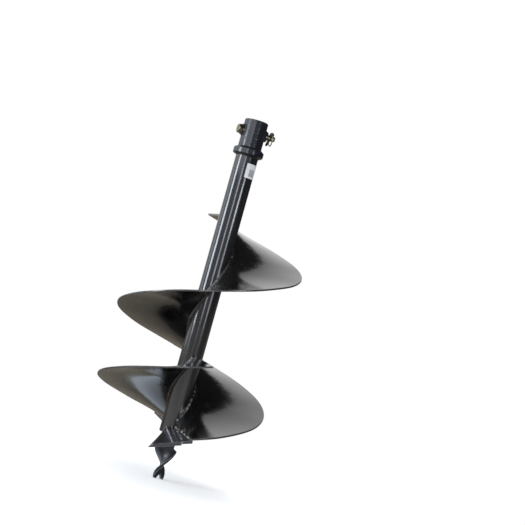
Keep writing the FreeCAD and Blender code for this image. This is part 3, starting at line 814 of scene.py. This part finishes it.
level, sideways, w, down, u = pilot_grid()
level = np.concatenate([level[:1], level, level[-1:]])
sideways = np.concatenate([sideways[:1], sideways, sideways[-1:]])
down = np.concatenate([down[:1], down, down[-1:]])
deep = w * PILOT_PLATE / 2 + 0 * level
deep[[0, -1]] = 0
turn = PILOT_TURN - TWIST * down
pilot = np.stack(
    [
        sideways * np.cos(turn) - deep * np.sin(turn),
        sideways * np.sin(turn) + deep * np.cos(turn),
        level + TUBE_FOOT,
    ],
    -1,
)
# a pale line near each wing's edge is a painted highlight; the last rows at the tip are marked pale
# as wear
edge_wear_and_highlight = np.where(np.abs(np.abs(u) - 0.985) < 0.01, 0.8, 0) + 0 * level
edge_wear_and_highlight[-4:] = 0.5
pilot_finish = black_paint(
    "pilot_forge_black",
    colour=(0.0125, 0.0128, 0.017, 1),
    gloss=(0.34, 0.5),
    dust=0.14,
    lump_size=6 * MM,
    lump_depth=0.3 * MM,
    wear_and_glint=(0.5, 0.52, 0.58, 1),
    coat=0.08,
)
fit(
    skin("pilot_point", pilot, around=True, wear_and_glint_mark=edge_wear_and_highlight, crease=42),
    pilot_finish,
    "blade_black",
    "auger",
    "pilot",
)

# Label: a white self-adhesive film, stuck round part of the tube below the collar. It is left
# without words and has one block of grey bars where print would be.
LABEL_TOP, LABEL_TALL, LABEL_WIDE = -153.5 * MM, 51 * MM, 70 * MM
LABEL_TURN, FILM = np.radians(-99.5), 0.3 * MM
BARS_WIDE, BARS_TALL = (14 * MM, 40 * MM), (7 * MM, 32 * MM)
turn = np.linspace(0, 1, 61)[:, None]
rise = np.concatenate([np.linspace(0, 1, 25), np.linspace(1, 0, 25)])
ease = 3 * MM
near = np.clip(1 - np.minimum(turn, 1 - turn) * LABEL_WIDE / ease, 0, 1)
tall = LABEL_TALL / 2 - ease + ease * np.sqrt(1 - near**2)
radius = np.where(np.arange(50) < 25, TUBE_OUT + FILM, TUBE_OUT + 0.05 * MM)
angle = LABEL_TURN + turn * LABEL_WIDE / TUBE_OUT
height = LABEL_TOP - LABEL_TALL / 2 + (rise * 2 - 1) * tall
label = np.stack([radius * np.cos(angle), radius * np.sin(angle), height], -1)
up_film = np.append(rise, rise[0]) * LABEL_TALL
chart = np.stack(np.broadcast_arrays(turn * LABEL_WIDE, up_film), -1)
label_finish, label_tree, label_shader = new_finish("label_film")
spot = node(label_tree, "TexCoord")
place = node(label_tree, "SeparateXYZ", {0: spot.outputs["UV"]})
grime = cloud(label_tree, spot.outputs["Object"], 130, 5, 0.5, 0.85)
shade = blend_colour(label_tree, grime, (0.6, 0.61, 0.63, 1), (0.36, 0.35, 0.34, 1))
bars = node(label_tree, "TexWave", {"Vector": spot.outputs["UV"], "Scale": 90, "Distortion": 0})


def within(value, low, high):
    """1 where the value lies between low and high, and 0 elsewhere."""
    over = node(label_tree, "Math", {0: value, 1: low}, operation="GREATER_THAN")
    under = node(label_tree, "Math", {0: value, 1: high}, operation="LESS_THAN")
    return sums(label_tree, "MULTIPLY", over.outputs[0], under.outputs[0])


strip = within(place.outputs[1], *BARS_TALL)
inside = within(place.outputs[0], *BARS_WIDE)
dark = sums(label_tree, "MULTIPLY", sums(label_tree, "MULTIPLY", strip, inside), bars.outputs[1])
shade = blend_colour(label_tree, dark, shade, (0.05, 0.05, 0.055, 1))
label_tree.links.new(shade, label_shader.inputs["Base Color"])
ruck = node(
    label_tree,
    "Bump",
    {"Height": cloud(label_tree, spot.outputs["Object"], 90, 2), "Distance": 0.2 * MM},
)
label_tree.links.new(ruck.outputs[0], label_shader.inputs["Normal"])
label_shader.inputs["Roughness"].default_value = 0.32
fit(
    skin("label_sticker", label, around=True, chart=chart),
    label_finish,
    "label_white",
    "auger",
    "tube_label",
)

# Floor: a pale sheet under the pilot's tip that fades into the white background. Mirrored in
# the enamel it is a dull warm brown with one ragged bluish patch near the pilot.
FLOOR = cad_box[0][2]
PATCH_MIDDLE, PATCH_SPREAD = (-0.04, 0.185, FLOOR), (5.9, 5.4, 0)
east, north = np.meshgrid(np.linspace(-6, 6, 3), np.linspace(-6, 6, 3), indexing="ij")
floor = skin("floor", np.stack([east, north, np.full((3, 3), FLOOR)], -1))
floor_finish, floor_tree, floor_shader = new_finish("pale_floor")
spot = node(floor_tree, "TexCoord").outputs["Object"]
ray = node(floor_tree, "LightPath")
mirrored = ray.outputs["Is Glossy Ray"]
floor_tree.links.new(
    blend_colour(floor_tree, mirrored, (0.9, 0.9, 0.9, 1), (0.2, 0.18, 0.145, 1)),
    floor_shader.inputs["Base Color"],
)
floor_shader.inputs["Roughness"].default_value = 0.9
floor_shader.inputs["Specular IOR Level"].default_value = 0.1
flat = node(floor_tree, "VectorMath", {0: spot, 1: (1, 1, 0)}, operation="MULTIPLY").outputs[0]
away = node(floor_tree, "VectorMath", {0: flat}, operation="LENGTH").outputs["Value"]
fade = node(
    floor_tree,
    "MapRange",
    {"Value": away, "From Min": 0.3, "From Max": 1.5},
    interpolation_type="SMOOTHERSTEP",
).outputs[0]
patch = node(floor_tree, "VectorMath", {0: spot, 1: PATCH_MIDDLE}, operation="SUBTRACT").outputs[0]
patch = node(floor_tree, "VectorMath", {0: patch, 1: PATCH_SPREAD}, operation="MULTIPLY").outputs[0]
patch = node(floor_tree, "VectorMath", {0: patch}, operation="LENGTH").outputs["Value"]
ragged = cloud(floor_tree, spot, 9, 4, 0.2, 0.8)
patch = node(
    floor_tree, "Math", {0: ragged, 1: 0.4, 2: patch}, operation="MULTIPLY_ADD"
).outputs[0]
patch = node(
    floor_tree, "MapRange", {"Value": patch, "From Min": 1.2, "From Max": 1.16, "To Max": 1.2}
).outputs[0]
patch = node(floor_tree, "Math", {0: patch, 1: mirrored}, operation="MULTIPLY").outputs[0]
lift = node(floor_tree, "Math", {0: ray.outputs["Is Camera Ray"], 1: 0.3}, operation="MULTIPLY")
glow = node(floor_tree, "Math", {0: patch, 1: lift.outputs[0]}, operation="ADD").outputs[0]
floor_tree.links.new(
    blend_colour(floor_tree, mirrored, (0.97, 0.98, 1, 1), (0.75, 0.87, 1.03, 1)),
    floor_shader.inputs["Emission Color"],
)
floor_tree.links.new(glow, floor_shader.inputs["Emission Strength"])
clear = node(floor_tree, "BsdfTransparent")
mixed = node(floor_tree, "MixShader", {0: fade, 1: floor_shader.outputs[0], 2: clear.outputs[0]})
floor_tree.links.new(mixed.outputs[0], floor_tree.nodes["Material Output"].inputs["Surface"])
floor.data.materials.append(floor_finish)

# Light: a tall strip and wide dim panels at the left, a short strip at the right front, a
# faint warm one in front and a wide panel overhead that the enamel doesn't mirror.
VIEW = Vector((0.3925, 0.9192, 0.0)).normalized()
SIDE = Vector((0.9192, -0.3925, 0.0)).normalized()


def soft_light(name, bearing, height, distance, size, radiance, colour, mirrored=True):
    """An upright area light on a circle round the auger; bearing is its angle from the front,
    height its middle's. Power is radiance times area times pi. One above 2 m looks down."""
    turn = np.radians(bearing)
    place = -VIEW * (distance * np.cos(turn)) + SIDE * (distance * np.sin(turn))
    place.z = height
    lamp = bpy.data.lights.new(name, "AREA")
    lamp.shape = "RECTANGLE"
    lamp.size, lamp.size_y = size
    lamp.energy = radiance * size[0] * size[1] * np.pi
    lamp.color = colour
    holder = bpy.data.objects.new(name, lamp)
    holder.location = place
    aim = Vector((0, 0, height if abs(height) < 2 else -0.6))
    holder.rotation_euler = (aim - place).to_track_quat("-Z", "Y").to_euler()
    holder.visible_glossy = mirrored
    bpy.context.scene.collection.objects.link(holder)


soft_light("left_strip", -66, -0.275, 3.0, (0.8, 1.15), 12.5, (0.9, 0.95, 1.0))
soft_light("left_strip_high", -66, 0.75, 3.0, (0.8, 0.9), 1.2, (0.86, 0.93, 1.0))
soft_light("left_side", -104, 0.1, 3.2, (1.9, 2.2), 1.7, (0.84, 0.92, 1.0))
soft_light("left_high", -45, 1.0, 3.4, (6.0, 1.7), 1.9, (0.86, 0.93, 1.0))
soft_light("right_strip", 41, -0.07, 3.2, (0.75, 0.34), 11, (0.92, 0.96, 1.0))
soft_light("right_strip_low", 41, -0.555, 3.2, (0.75, 0.63), 4, (0.92, 0.96, 1.0))
soft_light("front_strip", -5, -0.225, 4.6, (0.9, 1.25), 5.2, (1.0, 0.97, 0.94))
soft_light("overhead", 170, 3.4, 0.6, (2.6, 2.6), 3.2, (1, 1, 1), mirrored=False)

# Room: white to the camera. In the enamel it is dim in front, with a pale band high up and a
# brownish one below, and white behind and above, past an edge torn by noise.
world = bpy.data.worlds.new("white_room")
bpy.context.scene.world = world
world.use_nodes = True
room = world.node_tree
background = room.nodes["Background"]
ray = node(room, "LightPath")
towards = node(room, "TexCoord").outputs["Generated"]
BACKDROP = (VIEW * 0.8 - SIDE * 0.35 + Vector((0, 0, 0.45))).normalized()


def share_of(direction):
    """How nearly a ray runs along a direction: the dot product of the two."""
    along = node(room, "VectorMath", {0: towards, 1: direction}, operation="DOT_PRODUCT")
    return along.outputs["Value"]


def ramp(value, low, high, first=0.0, last=1.0, curve="SMOOTHSTEP"):
    """The value's share of the way from low to high, given out between first and last."""
    sockets = {"Value": value, "From Min": low, "From Max": high, "To Min": first, "To Max": last}
    return node(room, "MapRange", sockets, interpolation_type=curve).outputs[0]


torn = cloud(room, towards, 9, 4, 0.0, 1.0)
behind = node(
    room, "Math", {0: torn, 1: 0.16, 2: share_of(BACKDROP)}, operation="MULTIPLY_ADD"
).outputs[0]
lit = ramp(behind, 0.902, 0.922, 0.02, 0.9)
height = node(room, "SeparateXYZ", {0: towards}).outputs["Z"]
before = ramp(share_of(-VIEW * 0.87 - SIDE * 0.5), 0.1, 0.6, curve="LINEAR")
level = node(room, "Math", {0: height}, operation="ABSOLUTE").outputs[0]
level = ramp(level, 0.3, 0.05, 0.0, 0.5, curve="LINEAR")
cove = ramp(share_of(-VIEW * 0.85 - SIDE * 0.53), 0.1, 0.4)
cove = sums(room, "MULTIPLY", cove, ramp(height, 0.26, 0.4))
cove = sums(room, "MULTIPLY", cove, ramp(height, 0.9, 0.72))
cove = sums(room, "MULTIPLY", cove, 0.6)
seen = blend_colour(room, sums(room, "MAXIMUM", lit, cove), (0, 0, 0, 1), (1, 1, 1, 1))
seen = blend_colour(room, sums(room, "MULTIPLY", level, before), seen, (0.9, 1.05, 1.4, 1))
near = ramp(height, -0.03, -0.1, curve="LINEAR")
ground = blend_colour(
    room, sums(room, "MULTIPLY", near, before), (0.2, 0.18, 0.15, 1), (1.0, 0.98, 0.95, 1)
)
below = ramp(height, 0.0, -0.04, curve="LINEAR")
upright = cloud(room, towards, 1, 4, 0.3, 0.7, (9, 9, 1.0))
upright = ramp(upright, 0.0, 1.0, 0.45, 1.75, curve="LINEAR")
ground = node(room, "VectorMath", {0: ground, "Scale": upright}, operation="SCALE").outputs[0]
seen = blend_colour(room, below, seen, ground)
plain = blend_colour(room, ray.outputs["Is Glossy Ray"], (0.75, 0.76, 0.78, 1), seen)
white = sums(room, "MAXIMUM", ray.outputs["Is Camera Ray"], ray.outputs["Is Transmission Ray"])
room.links.new(blend_colour(room, white, plain, (1, 1, 1, 1)), background.inputs["Color"])

# Camera: where the photograph was taken from, rolled so that the auger leans as it hangs. The
# picture is 525 pixels wide and its focal length, fitted to points on the auger, is 1165.
SENSOR = 36
eye = bpy.data.cameras.new("photograph")
eye.sensor_width = SENSOR
eye.lens = 1165 / 525 * SENSOR
viewer = bpy.data.objects.new("photograph", eye)
right = Vector((0.883, -0.3861, 0.2668)).normalized()
forward = Vector((0.3925, 0.9192, 0.0314)).normalized()
right = (right - forward * right.dot(forward)).normalized()
top = right.cross(forward)
viewer.matrix_world = Matrix.Translation((-1.4622, -3.8092, -0.6005)) @ Matrix(
    (right, top, -forward)
).transposed().to_4x4()
bpy.context.scene.collection.objects.link(viewer)
bpy.context.scene.camera = viewer
bpy.context.scene.view_settings.view_transform = "Standard"
